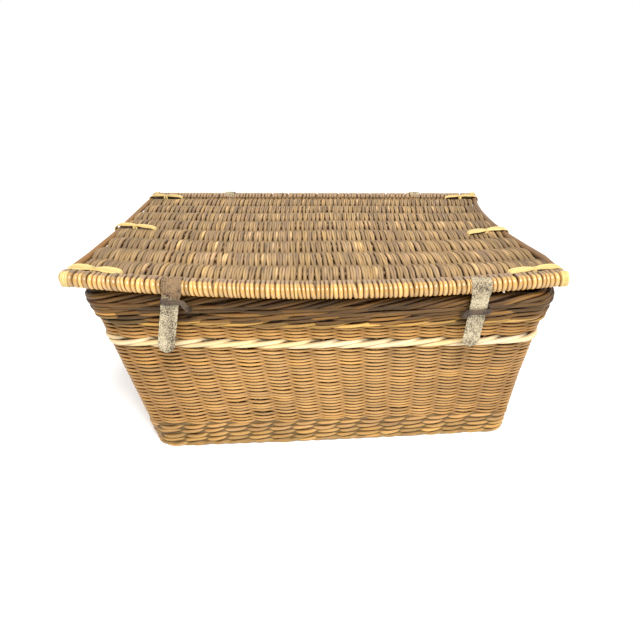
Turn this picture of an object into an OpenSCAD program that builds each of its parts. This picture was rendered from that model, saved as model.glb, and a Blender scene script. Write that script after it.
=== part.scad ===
// Wicker storage trunk: a flared willow basket with a flat woven lid that
// hinges on two leather loops, and two leather straps that drop through
// keeper loops on the front. Millimetres, +Z up, origin at the middle of
// the underside, front towards -Y.

/* [Lid] */
// Length of the wrapped front and back edges of the lid
lid_w = 800; // [780:1:812]
// Distance between the front and back edge sticks of the lid
lid_d = 544; // [540:1:548]
// Height of the lid's middle plane above the floor
lid_z = 364; // [363:1:372]
// Thickness of the woven lid
lid_t = 20; // [18:1:20]
// Number of sticks that run the length of the lid between its edges
lid_stick_n = 8; // [6:1:9]
// Diameter of those sticks
lid_stick_d = 9; // [7:0.5:10]
// Diameter of the front and back edge sticks
edge_stick_d = 16; // [14:0.5:17]
// Diameter of the edge with its wrapping of rods
roll_d = 24; // [23:0.5:24]
// Diameter of the two end sticks
end_stick_d = 16; // [14:0.5:16]
// Distance of each end stick from the middle
end_stick_x = 412; // [410:1:414]
// Widest opening angle of the lid
lid_open = 105; // [60:1:105]

/* [Body] */
// Half length of the wall's middle line at the floor
mx0 = 354; // [346:1:355]
// Half depth of the wall's middle line at the floor
my0 = 233; // [228:1:235]
// Flare of each end wall over the height of the body
flare_x = 38; // [30:1:38]
// Flare of the front and back walls over the height of the body
flare_y = 25; // [18:1:25]
// Corner radius of the wall's middle line
rm = 38; // [34:1:46]
// Height of the body to the top of its border
body_h = 350; // [348:1:350]
// Thickness of the waled bands
wale_t = 16; // [15:0.5:16]
// Thickness of the plain woven bands
rand_t = 15; // [14:0.5:15]
// Width of the border across the wall
border_t = 28; // [24:1:28]

/* [Bands] */
// Height of the bottom waling
z_foot = 60; // [50:1:64]
// Underside of the pale band
z_pale0 = 236; // [230:1:240]
// Top of the pale band
z_pale1 = 264; // [258:1:264]
// Underside of the border
z_border = 292; // [290:1:296]

/* [Stakes] */
// Diameter of the upright stakes
stake_d = 7; // [6:0.5:8]
// Diameter of the corner posts
post_d = 12; // [11:0.5:12]
// Number of stakes in the front wall
stake_nf = 15; // [15:1:15]
// Number of stakes in the back wall, fewer, so that the hinge loops pass between them
stake_nb = 13; // [13:1:13]
// Number of stakes in each end wall
stake_ny = 8; // [8:1:9]

/* [Base] */
// Number of sticks that run the length of the base
base_stick_n = 7; // [5:1:8]
// Diameter of the base sticks
base_stick_d = 11; // [9:0.5:12]
// Thickness of the woven base
base_t = 16; // [15:1:18]

/* [Leather] */
// Place of the left strap along the front
strap_xl = -235; // [-260:1:-220]
// Place of the right strap along the front
strap_xr = 262; // [230:1:270]
// Width of the straps
strap_w = 30; // [26:1:32]
// Thickness of the leather
leather_t = 3; // [2.5:0.1:3]
// Length of a strap below the front edge of the lid
strap_drop = 118; // [100:1:120]
// Height of the left keeper's lower edge
keeper_zl = 336; // [332:1:337]
// Height of the right keeper's lower edge
keeper_zr = 321; // [316:1:325]
// Height of a keeper's band
keeper_h = 9; // [8:0.5:9]
// Place of the left hinge loop along the back
hinge_xl = -240; // [-256:1:-238]
// Place of the right hinge loop along the back
hinge_xr = 240; // [238:1:256]
// Width of the hinge loops
hinge_w = 26; // [22:1:28]

/* [Lashings] */
// Length of a lashing, from its turn through the weave to the end stick
lash_l = 80; // [70:1:84]
// Width of a lashing
lash_w = 22; // [18:1:24]
// Distance of the corner lashings from the lid's middle line
lash_y = 243; // [238:1:243]
// Place of the middle lashings along the end sticks
lash_mid = -12; // [-15:1:12]

/* [Hidden] */
$fn = 48;
e = 0.01;
yf = -lid_d / 2;           // front edge of the lid
yb = lid_d / 2;            // back edge of the lid, and the hinge line
rr = roll_d / 2;
gap = 0.3;                 // running clearance of leather round a roll
ro = rr + gap + leather_t; // outside of a leather loop
weave_w = lid_w - 30;      // the woven part stops short of the end sticks
base_z0 = 4;
willow = [0.78, 0.58, 0.33];
willow_dark = [0.62, 0.45, 0.22];
pale = [0.93, 0.86, 0.68];
grey_willow = [0.62, 0.51, 0.38];
leather = [0.72, 0.67, 0.58];
dark_leather = [0.34, 0.22, 0.14];

// ---- the flared wall ----
// half length and half depth of the wall's middle line at height z
function mx(z) = mx0 + flare_x * z / body_h;
function my(z) = my0 + flare_y * z / body_h;
sx = [-1, 1, 1, -1];
sy = [-1, -1, 1, 1];
// centre of corner i's curve at height z; corner 0 is front left, then anticlockwise
function cc(i, z) = [sx[i % 4] * (mx(z) - rm), sy[i % 4] * (my(z) - rm)];
// outline of wall k at height z, o outside the middle line, from corner to corner;
// the front and back walls wrap round the corner posts and the end walls meet them
function side(k, z, o) = let (w = k % 2 == 0 ? 63 : 27) concat(
  [for (a = [270 - w : 9 : 270]) let (p = cc(k, z), b = a + 90 * k)
    [p[0] + (rm + o) * cos(b), p[1] + (rm + o) * sin(b), z]],
  [for (a = [270 : 9 : 270 + w]) let (p = cc(k + 1, z), b = a + 90 * k)
    [p[0] + (rm + o) * cos(b), p[1] + (rm + o) * sin(b), z]]);
// a closed skin round a stack of cross-section loops, each with m points
function skin(s, m) = concat(
  [for (j = [0 : s - 2], i = [0 : m - 1]) each
    [[j * m + i, (j + 1) * m + i, (j + 1) * m + (i + 1) % m],
     [j * m + i, (j + 1) * m + (i + 1) % m, j * m + (i + 1) % m]]],
  [[for (i = [0 : m - 1]) i], [for (i = [m - 1 : -1 : 0]) (s - 1) * m + i]]);
// part of wall k between two heights; prof lists [height, inner offset, outer offset]
module wall(k, prof) {
  n = len(side(k, 0, 0));
  m = 2 * len(prof);
  pts = [for (i = [0 : n - 1]) each concat(
    [for (p = prof) side(k, p[0], p[2])[i]],
    [for (j = [len(prof) - 1 : -1 : 0]) side(k, prof[j][0], prof[j][1])[i]])];
  polyhedron(points = pts, faces = skin(n, m), convexity = 8);
}
module band(k, z0, z1, t) wall(k, [[z0, -t / 2, t / 2], [z1, -t / 2, t / 2]]);
// a straight rod between two points
module rod(p, q, d) {
  v = q - p;
  l = norm(v);
  translate(p) rotate([0, acos(v[2] / l), atan2(v[1], v[0])]) rotate([0, 0, 37]) cylinder(h = l, d = d);
}
// foot or top point of stake i of wall k
// stakes stand at equal steps along the wall from corner post to corner post
arc = rm * PI / 4;
function stake_n(k) = k == 0 ? stake_nf : k == 2 ? stake_nb : stake_ny;
function stake(k, i, z) = let (n = stake_n(k), u = (2 * i - n + 1) / (n + 1))
  k % 2 == 0 ? [u * (mx(z) - rm + arc), sy[k] * my(z), z]
             : [(k == 1 ? 1 : -1) * mx(z), u * (my(z) - rm + arc), z];
module stakes(k, z0, z1) for (i = [0 : stake_n(k) - 1])
  rod(stake(k, i, z0), stake(k, i, z1), stake_d);
function post(i, z) = let (p = cc(i, z)) [p[0] + rm * sx[i] * cos(45), p[1] + rm * sy[i] * sin(45), z];
module posts(z0, z1) for (i = [0 : 3]) rod(post(i, z0), post(i, z1), post_d);
// a band of weaving with its stakes and posts passing through it
module woven_band(k, z0, z1, t) difference() {
  band(k, z0, z1, t);
  stakes(k, -20, z_border + 20);
  posts(-20, z_border + 20);
}

module bottom_wale(k) color(willow_dark) woven_band(k, 0, z_foot, wale_t);
module randing(k) color(willow) woven_band(k, z_foot, z_pale0, rand_t);
module pale_wale(k) color(pale) woven_band(k, z_pale0, z_pale1, wale_t);
module upper_randing(k) color(willow) difference() {
  woven_band(k, z_pale1, z_border, rand_t);
  if (k == 2) for (x = [hinge_xl, hinge_xr]) hinge_leg(x, 0.2);
}
// rolled border: round on top, flat on the weaving below
module border(k) color(willow_dark) difference() {
  r = border_t / 2;
  wall(k, concat([[z_border, -rand_t / 2, rand_t / 2], [z_border + 8, -r, r], [body_h - r, -r, r]],
    [for (a = [18 : 18 : 72]) [body_h - r + r * sin(a), -r * cos(a), r * cos(a)]],
    [[body_h, -r * 0.08, r * 0.08]]));
  if (k == 0) {
    keeper_ring(strap_xl, keeper_zl, 0.2);
    keeper_ring(strap_xr, keeper_zr, 0.2);
  }
  if (k == 2) for (x = [hinge_xl, hinge_xr]) hinge_drop(x, 0.2);
}

// ---- base ----
module base_sticks() color(willow_dark) for (i = [0 : base_stick_n - 1])
  let (y = (2 * i - base_stick_n + 1) / (base_stick_n - 1) * (my0 - 46))
  rod([-mx0 + 14, y, base_z0 + base_t / 2], [mx0 - 14, y, base_z0 + base_t / 2], base_stick_d);
// outline of the room inside the wall at height z; neighbouring walls share
// their corner point, so every wall drops its last one
function inside(z) = [for (k = [0 : 3]) let (l = side(k, z, -wale_t / 2)) each
  [for (i = [0 : len(l) - 2]) l[i]]];
module base_weave() color(willow) difference() {
  loop0 = inside(base_z0);
  m = len(loop0);
  polyhedron(points = concat(loop0, inside(base_z0 + base_t)),
    faces = [for (f = skin(2, m)) [for (i = [len(f) - 1 : -1 : 0]) f[i]]], convexity = 4);
  base_sticks();
}

// ---- lid ----
function lid_stick_y(i) = yf + (i + 1) * lid_d / (lid_stick_n + 1);
module along_x(y, d, x0, x1) translate([x0, y, lid_z]) rotate([0, 90, 0]) cylinder(h = x1 - x0, d = d);
module lid_front_stick() color(willow_dark) along_x(yf, edge_stick_d, -lid_w / 2, lid_w / 2);
module lid_back_stick() color(willow_dark) along_x(yb, edge_stick_d, -lid_w / 2, lid_w / 2);
module lid_sticks() color(willow_dark) for (i = [0 : lid_stick_n - 1])
  along_x(lid_stick_y(i), lid_stick_d, -lid_w / 2, lid_w / 2);
module roll(y) color(willow) difference() {
  along_x(y, roll_d, -weave_w / 2, weave_w / 2);
  along_x(y, edge_stick_d, -weave_w, weave_w);
}
module lid_front_roll() roll(yf);
module lid_back_roll() roll(yb);
module lid_weave() color(grey_willow) difference() {
  translate([-weave_w / 2, yf, lid_z - lid_t / 2]) cube([weave_w, lid_d, lid_t]);
  for (y = [yf, yb]) along_x(y, roll_d, -lid_w, lid_w);
  for (i = [0 : lid_stick_n - 1]) along_x(lid_stick_y(i), lid_stick_d, -lid_w, lid_w);
  // room for the leather where it goes round the two edges
  for (x = [strap_xl, strap_xr]) along_x(yf, 2 * ro + 2, x - strap_w / 2 - 1, x + strap_w / 2 + 1);
  for (x = [hinge_xl, hinge_xr]) along_x(yb, 2 * ro + 2, x - hinge_w / 2 - 1, x + hinge_w / 2 + 1);
  for (s = [-1, 1], y = lash_places) lashing_solid(s, y);
}
module lid_end_stick(s) color(willow_dark)
  translate([s * end_stick_x, yf + 10, lid_z]) rotate([-90, 0, 0])
    cylinder(h = front_reach - 2 - yf - 8, d = end_stick_d);
front_reach = -yf + ro + 1.5 + leather_t; // how far the keepers stand in front
module lid_end_stick_left() lid_end_stick(-1);
module lid_end_stick_right() lid_end_stick(1);

// split-willow lashing: round the end stick, over and under the weave,
// and back through it
lash_places = [-lash_y, lash_mid, lash_y];
module lashing_solid(s, y) {
  h = lid_t / 2;
  x1 = end_stick_x - lash_l;
  translate([0, y + lash_w / 2, lid_z]) rotate([90, 0, 0]) linear_extrude(lash_w)
    mirror([s < 0 ? 1 : 0, 0]) difference() {
      union() {
        translate([end_stick_x, 0]) circle(d = end_stick_d + 4);
        translate([x1, -h - 2]) square([end_stick_x - x1, lid_t + 4]);
      }
      translate([end_stick_x, 0]) circle(d = end_stick_d);
      translate([x1 + 2, -h]) square([end_stick_x - x1 - 2, lid_t]);
    }
}
module lashing(s, y) color(pale) difference() {
  lashing_solid(s, y);
  for (i = [0 : lid_stick_n - 1]) along_x(lid_stick_y(i), lid_stick_d, -lid_w / 2, lid_w / 2);
}
module lashing_front_left() lashing(-1, lash_places[0]);
module lashing_middle_left() lashing(-1, lash_places[1]);
module lashing_back_left() lashing(-1, lash_places[2]);
module lashing_front_right() lashing(1, lash_places[0]);
module lashing_middle_right() lashing(1, lash_places[1]);
module lashing_back_right() lashing(1, lash_places[2]);

// ---- leather ----
module loop_round(y, x, w) difference() {
  along_x(y, 2 * ro, x - w / 2, x + w / 2);
  along_x(y, 2 * (rr + gap), x - w, x + w);
}
// a strap sewn round the front edge, hanging from the front of the loop
module strap(x, holes) color(leather) difference() {
  union() {
    loop_round(yf, x, strap_w);
    translate([x - strap_w / 2, yf - ro, lid_z - strap_drop + strap_w / 2])
      cube([strap_w, leather_t, strap_drop - strap_w / 2]);
    translate([x, yf - ro, lid_z - strap_drop + strap_w / 2]) rotate([-90, 0, 0])
      cylinder(h = leather_t, d = strap_w);
  }
  for (z = holes) translate([x, yf - ro - 1, z]) rotate([-90, 0, 0]) cylinder(h = leather_t + 2, d = 5);
}
module strap_left() strap(strap_xl, [lid_z - 100]);
module strap_right() strap(strap_xr, [lid_z - 100]);
// a flat leather ring threaded through the border; the strap drops through it
module keeper_ring(x, z, g) {
  w = strap_w + 7;
  y0 = yf - ro - 1.5;
  y1 = -my(z) + border_t / 2 + 1;
  translate([x, 0, z - g]) linear_extrude(keeper_h + 2 * g) difference() {
    translate([-w / 2 - leather_t - g, y0 - leather_t - g])
      square([w + 2 * leather_t + 2 * g, y1 - y0 + 2 * leather_t + 2 * g]);
    translate([-w / 2 + g, y0 + g]) square([w - 2 * g, y1 - y0 - 2 * g]);
  }
}
module keeper_left() color(dark_leather) keeper_ring(strap_xl, keeper_zl, 0);
module keeper_right() color(dark_leather) keeper_ring(strap_xr, keeper_zr, 0);
// a hinge loop: round the back edge of the lid, down outside the border and
// in through the weaving
hz = z_border - 9;
module hinge_leg(x, g) translate([x - hinge_w / 2 - g, my(hz) - rand_t / 2 - 5, hz - g])
  cube([hinge_w + 2 * g, yb - 2 - (my(hz) - rand_t / 2 - 5), leather_t + 2 * g]);
// the strip from the loop down, let into the border's outer face
module hinge_drop(x, g) translate([x - hinge_w / 2 - g, yb - 5 - g, hz])
  cube([hinge_w + 2 * g, leather_t + 2 * g, lid_z - hz - rr]);
module hinge_loop(x) color(leather) {
  loop_round(yb, x, hinge_w);
  difference() {
    hinge_drop(x, 0);
    along_x(yb, 2 * (rr + gap), x - hinge_w, x + hinge_w);
  }
  hinge_leg(x, 0);
  translate([x - hinge_w / 2, my(hz) - rand_t / 2 - 5, hz - 20]) cube([hinge_w, leather_t, 20 + leather_t]);
}
module hinge_loop_left() hinge_loop(hinge_xl);
module hinge_loop_right() hinge_loop(hinge_xr);

module corner_posts() color(willow_dark) posts(2, z_border - 1);
module stakes_front() color(willow_dark) stakes(0, 2, z_border - 1);
module stakes_right() color(willow_dark) stakes(1, 2, z_border - 1);
module stakes_back() color(willow_dark) stakes(2, 2, z_border - 1);
module stakes_left() color(willow_dark) stakes(3, 2, z_border - 1);

base_sticks();
base_weave();
corner_posts();
stakes_front();
stakes_right();
stakes_back();
stakes_left();
bottom_wale(0);  // bottom_wale_front
bottom_wale(1);  // bottom_wale_right
bottom_wale(2);  // bottom_wale_back
bottom_wale(3);  // bottom_wale_left
randing(0);  // randing_front
randing(1);  // randing_right
randing(2);  // randing_back
randing(3);  // randing_left
pale_wale(0);  // pale_wale_front
pale_wale(1);  // pale_wale_right
pale_wale(2);  // pale_wale_back
pale_wale(3);  // pale_wale_left
upper_randing(0);  // upper_randing_front
upper_randing(1);  // upper_randing_right
upper_randing(2);  // upper_randing_back
upper_randing(3);  // upper_randing_left
border(0);  // border_front
border(1);  // border_right
border(2);  // border_back
border(3);  // border_left
keeper_left();
keeper_right();
hinge_loop_left();
hinge_loop_right();
lid_front_stick();
lid_back_stick();
lid_sticks();
lid_weave();
lid_front_roll();
lid_back_roll();
lid_end_stick_left();
lid_end_stick_right();
lashing_front_left();
lashing_middle_left();
lashing_back_left();
lashing_front_right();
lashing_middle_right();
lashing_back_right();
strap_left();
strap_right();
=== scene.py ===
import math

import bpy
import numpy as np
from mathutils import Matrix, Vector


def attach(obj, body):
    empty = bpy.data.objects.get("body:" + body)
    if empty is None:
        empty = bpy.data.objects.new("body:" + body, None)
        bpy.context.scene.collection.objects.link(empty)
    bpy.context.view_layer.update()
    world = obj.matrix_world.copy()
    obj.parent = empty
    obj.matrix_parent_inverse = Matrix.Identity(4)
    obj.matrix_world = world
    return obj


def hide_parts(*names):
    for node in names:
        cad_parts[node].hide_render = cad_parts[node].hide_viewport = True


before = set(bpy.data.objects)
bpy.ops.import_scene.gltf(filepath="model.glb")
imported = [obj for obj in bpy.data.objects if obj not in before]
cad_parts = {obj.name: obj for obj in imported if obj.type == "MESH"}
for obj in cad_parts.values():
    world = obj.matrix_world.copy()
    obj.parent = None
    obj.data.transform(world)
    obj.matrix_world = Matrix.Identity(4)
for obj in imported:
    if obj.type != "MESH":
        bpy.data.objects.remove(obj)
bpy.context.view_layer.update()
rng = np.random.default_rng(11)
MM = 0.001

# ------------------------------------------------------------------ camera
F_PX = 480.0
CAM = dict(pos=(-0.0118, -0.9712, 0.6996), yaw=0.628, pitch=29.608, roll=0.206)


def make_camera():
    cam = bpy.data.objects.new("camera", bpy.data.cameras.new("camera"))
    bpy.context.scene.collection.objects.link(cam)
    cam.data.sensor_width = 36.0
    cam.data.lens = F_PX * 36.0 / 640.0
    cam.data.clip_start = 0.01
    cam.data.clip_end = 60.0
    y, p, r = (math.radians(CAM[k]) for k in ("yaw", "pitch", "roll"))
    fwd = Vector((math.sin(y) * math.cos(p), math.cos(y) * math.cos(p), -math.sin(p)))
    right = Vector((math.cos(y), -math.sin(y), 0.0))
    up = right.cross(fwd)
    r2 = right * math.cos(r) + up * math.sin(r)
    u2 = -right * math.sin(r) + up * math.cos(r)
    m = Matrix(((r2.x, u2.x, -fwd.x), (r2.y, u2.y, -fwd.y), (r2.z, u2.z, -fwd.z))).to_4x4()
    m.translation = Vector(CAM["pos"])
    cam.matrix_world = m
    bpy.context.scene.camera = cam


make_camera()

# ------------------------------------------------------------------ the wall's shape, mm
RM = 35.0
H = 350.0
NW = (15, 8, 13, 8)                  # stakes in the front, right, back and left walls
POST = [0, 16, 25, 39, 48]           # where the corner posts come in the count
NST = 48                             # stakes and corner posts round the body
WALLS = {"front": (0, 16), "right": (16, 25), "back": (25, 39), "left": (39, 48)}
M = 40                               # samples between two stakes


def half(z):
    return 355.0 + 38.5 * z / H, 231.0 + 27.5 * z / H


def outline(z):
    """Points of the wall's middle line at height z, M per gap between stakes, from the front left post."""
    hx, hy = half(z)
    ax, ay = hx - RM, hy - RM
    cs = [(-ax, -ay), (ax, -ay), (ax, ay), (-ax, ay)]
    pts, nor, wf = [], [], []
    for k in range(4):
        n = NW[k]
        ln = 2 * (ax if k % 2 == 0 else ay)
        arc = RM * math.pi / 4
        total = ln + 2 * arc
        stops = [total * i / (n + 1) for i in range(n + 2)]
        c0, c1 = cs[k], cs[(k + 1) % 4]
        a0 = math.radians(225 + 90 * k)
        t = np.array([math.cos(a0 + math.pi / 4 + math.pi / 2), math.sin(a0 + math.pi / 4 + math.pi / 2)])
        o = np.array([math.cos(a0 + math.pi / 4), math.sin(a0 + math.pi / 4)])
        for j in range(n + 1):
            for i in range(M):
                s = stops[j] + (stops[j + 1] - stops[j]) * i / M
                if s < arc:
                    a = a0 + s / RM
                    d = np.array([math.cos(a), math.sin(a)])
                    p = np.array(c0) + RM * d
                elif s > arc + ln:
                    a = a0 + math.pi / 4 + (s - arc - ln) / RM
                    d = np.array([math.cos(a), math.sin(a)])
                    p = np.array(c1) + RM * d
                else:
                    d = o
                    p = np.array(c0) + RM * o + t * (s - arc)
                pts.append(p)
                nor.append(d)
                wf.append(s / total)
    return np.array(pts), np.array(nor), np.array(wf)


P0, N0, WF = outline(0.0)
P1, _, _ = outline(H)
KK = np.repeat([0, 1, 2, 3], [(n + 1) * M for n in NW])
NU0 = len(P0)
BOW = np.array([8.0, 6.0, 5.0, 6.0])[KK] * np.sin(np.pi * WF) ** 1.2
RIGHT = (KK == 1) * np.sin(np.pi * np.clip(WF, 0, 1)) ** 0.3 + (KK != 1) * np.clip(1 - np.minimum(np.abs((np.arange(NU0) - POST[1] * M)), np.abs((np.arange(NU0) - POST[2] * M))) / 60.0, 0, 1)
SAG = np.array([9.5, 1.0, 0.0, 1.0])[KK] * np.sin(np.pi * WF)
NU = len(P0)


def _at(a, u):
    x = np.mod(np.asarray(u, float) * M, NU)
    i = np.floor(x).astype(int)
    f = x - i
    b = a[(i + 1) % NU]
    a = a[i]
    if a.ndim == 2:
        f = f[:, None]
    return a * (1 - f) + b * f


WANDER = rng.normal(0, 0.05, (4, NST))


def wander(u, z):
    x = np.mod(u, NST)
    y = np.clip(z / H, 0, 0.999) * 3
    i, j = np.floor(x).astype(int), np.floor(y).astype(int)
    f, g = x - i, y - j
    f, g = f * f * (3 - 2 * f), g * g * (3 - 2 * g)
    w = WANDER
    a = w[j, i % NST] * (1 - f) + w[j, (i + 1) % NST] * f
    b = w[j + 1, i % NST] * (1 - f) + w[j + 1, (i + 1) % NST] * f
    return a * (1 - g) + b * g


def wall(u, z, off):
    """A point on the wall: u counts stakes round the body, z is the height, off is outwards. Returns points and outward normals."""
    u = np.asarray(u, float)
    z = np.broadcast_to(np.asarray(z, float), u.shape)
    off = np.broadcast_to(np.asarray(off, float), u.shape)
    u = u + wander(u, z)
    t = (z / H)[:, None]
    p = _at(P0, u) * (1 - t) + _at(P1, u) * t
    n = _at(N0, u)
    n = n / np.linalg.norm(n, axis=1)[:, None]
    bow = _at(BOW, u) * (0.45 + 0.55 * z / H)
    # the right-hand end is a little hollow half way up and spreads at its foot
    bow = bow + np.clip(_at(RIGHT, u), 0, 1) * np.interp(z, [0, 45, 150, 290, 350], [2.0, 3.5, -4.0, 0.0, 0.0])
    p = p + n * (off + bow)[:, None]
    zz = z - _at(SAG, u) * np.clip(z / H, 0, 1) ** 2
    out = np.column_stack([p[:, 0] + body_shift(zz), p[:, 1] + body_twist(zz) * p[:, 0] + 3.6, zz])
    return out, np.column_stack([n, np.zeros(len(n))])


def body_shift(z):
    return 27.7 - 0.0992 * z


def body_twist(z):
    return 0.061 - 0.000214 * z


# ------------------------------------------------------------------ meshes
class Build:
    """Collects rods for one piece. Vertices carry a colour and rod coordinates for the grain."""

    def __init__(self):
        self.v, self.q, self.t, self.c, self.r, self.n = [], [], [], [], [], 0
        self.flat = []

    def add(self, v, q, t, c, r):
        self.v.append(v)
        self.c.append(c)
        self.r.append(r)
        if len(q):
            self.q.append(np.asarray(q) + self.n)
        if len(t):
            self.t.append(np.asarray(t) + self.n)
        self.n += len(v)

    def tube(self, path, rad, ref, col, sides=8, flat=1.0, flank_shade=0.0, flank_shade_col=(0.30, 0.17, 0.07), prof=None, grain=None, closed=False):
        """A rod along path. rad is a number or one per point, ref the outward direction, flat squeezes along ref.
        Painted shade darkens the rod's flanks by the given amount, towards the given shade colour, where it meets its
        neighbours."""
        p = np.asarray(path, float)
        n = len(p)
        rad = np.broadcast_to(np.asarray(rad, float), (n,)).copy()
        ref = np.broadcast_to(np.asarray(ref, float), (n, 3))
        if closed:
            tan = np.roll(p, -1, 0) - np.roll(p, 1, 0)
        else:
            tan = np.gradient(p, axis=0)
        tan /= np.linalg.norm(tan, axis=1)[:, None] + 1e-12
        b = np.cross(tan, ref)
        b /= np.linalg.norm(b, axis=1)[:, None] + 1e-12
        nn = np.cross(b, tan)
        ds = np.linalg.norm(np.diff(p, axis=0), axis=1)
        s = np.concatenate([[0], np.cumsum(ds)])
        flat = np.broadcast_to(np.asarray(flat, float), (n,))
        if prof is None:
            a = np.arange(sides) / sides * 2 * np.pi
            ca, sa = np.cos(a), np.sin(a)
        else:
            ca, sa = prof
            sides = len(ca)
            a = np.arctan2(sa, ca)
        ring = p[:, None, :] + rad[:, None, None] * ((ca[None, :] * flat[:, None])[:, :, None] * nn[:, None, :] + sa[None, :, None] * b[:, None, :])
        v = ring.reshape(-1, 3)
        i = np.arange(n if closed else n - 1)[:, None]
        k = np.arange(sides)[None, :]
        k2 = (k + 1) % sides
        i2 = (i + 1) % n
        q = np.stack([i * sides + k, i * sides + k2, i2 * sides + k2, i2 * sides + k], -1).reshape(-1, 4)
        col = np.asarray(col, float)
        if col.ndim == 1:
            col = np.broadcast_to(col, (n, 3))
        c = np.repeat(col[:, None, :], sides, 1)
        if flank_shade:
            # painted shade on the flanks, where the rod meets its neighbours
            w = (np.abs(np.sin(a)) ** 2.2 * flank_shade)[None, :, None]
            c = c * (1 - w) + c * np.asarray(flank_shade_col)[None, None, :] * w
        c = c.reshape(-1, 3)
        seed = rng.random() * 50 if grain is None else grain
        r = np.stack([np.repeat(s[:, None], sides, 1), np.cos(a)[None, :].repeat(n, 0) * 1.0 + seed,
                      np.sin(a)[None, :].repeat(n, 0) * 1.0 + seed * 1.7], -1).reshape(-1, 3)
        self.add(v, q, [], c, r)
        if not closed:
            for e in (0, n - 1):
                rr = ring[e]
                cen = rr.mean(0) + tan[e] * (0.25 * rad[e]) * (1 if e else -1)
                cv = np.vstack([rr, cen])
                idx = np.arange(sides)
                t = np.stack([idx, (idx + 1) % sides, np.full(sides, sides)], -1)
                if e == 0:
                    t = t[:, ::-1]
                cc = np.vstack([np.clip(c[e * sides:e * sides + sides] * 1.15, 0, 1)] + [np.clip(c[e * sides] * 1.35, 0, 1)])
                self.add(cv, [], t, cc, np.column_stack([np.full(len(cv), seed), cv[:, :2] * 0.4]))

    def make(self, name, mat, body, *nodes, slot=None, smooth=True):
        v = np.vstack(self.v) * MM
        q = np.vstack(self.q) if self.q else np.zeros((0, 4), int)
        t = np.vstack(self.t) if self.t else np.zeros((0, 3), int)
        me = bpy.data.meshes.new(name)
        me.vertices.add(len(v))
        me.vertices.foreach_set("co", v.astype(np.float32).ravel())
        loops = np.concatenate([q.ravel(), t.ravel()])
        me.loops.add(len(loops))
        me.loops.foreach_set("vertex_index", loops.astype(np.int32))
        starts = np.concatenate([np.arange(len(q)) * 4, len(q) * 4 + np.arange(len(t)) * 3])
        me.polygons.add(len(starts))
        me.polygons.foreach_set("loop_start", starts.astype(np.int32))
        me.polygons.foreach_set("loop_total", np.concatenate([np.full(len(q), 4), np.full(len(t), 3)]).astype(np.int32))
        me.polygons.foreach_set("use_smooth", np.full(len(starts), smooth))
        me.update(calc_edges=True)
        me.validate()
        c = np.vstack(self.c)
        att = me.attributes.new("tint", "FLOAT_COLOR", "POINT")
        att.data.foreach_set("color", np.column_stack([np.clip(c, 0, 1), np.ones(len(c))]).astype(np.float32).ravel())
        att = me.attributes.new("rod", "FLOAT_VECTOR", "POINT")
        att.data.foreach_set("vector", np.vstack(self.r).astype(np.float32).ravel())
        ob = bpy.data.objects.new(name, me)
        bpy.context.scene.collection.objects.link(ob)
        me.materials.append(mat)
        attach(ob, body)
        if nodes:
            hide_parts(*nodes)
        return ob


# ------------------------------------------------------------------ materials
def nd(nt, kind, **kw):
    n = nt.nodes.new(kind)
    for k, v in kw.items():
        setattr(n, k, v)
    return n


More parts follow.
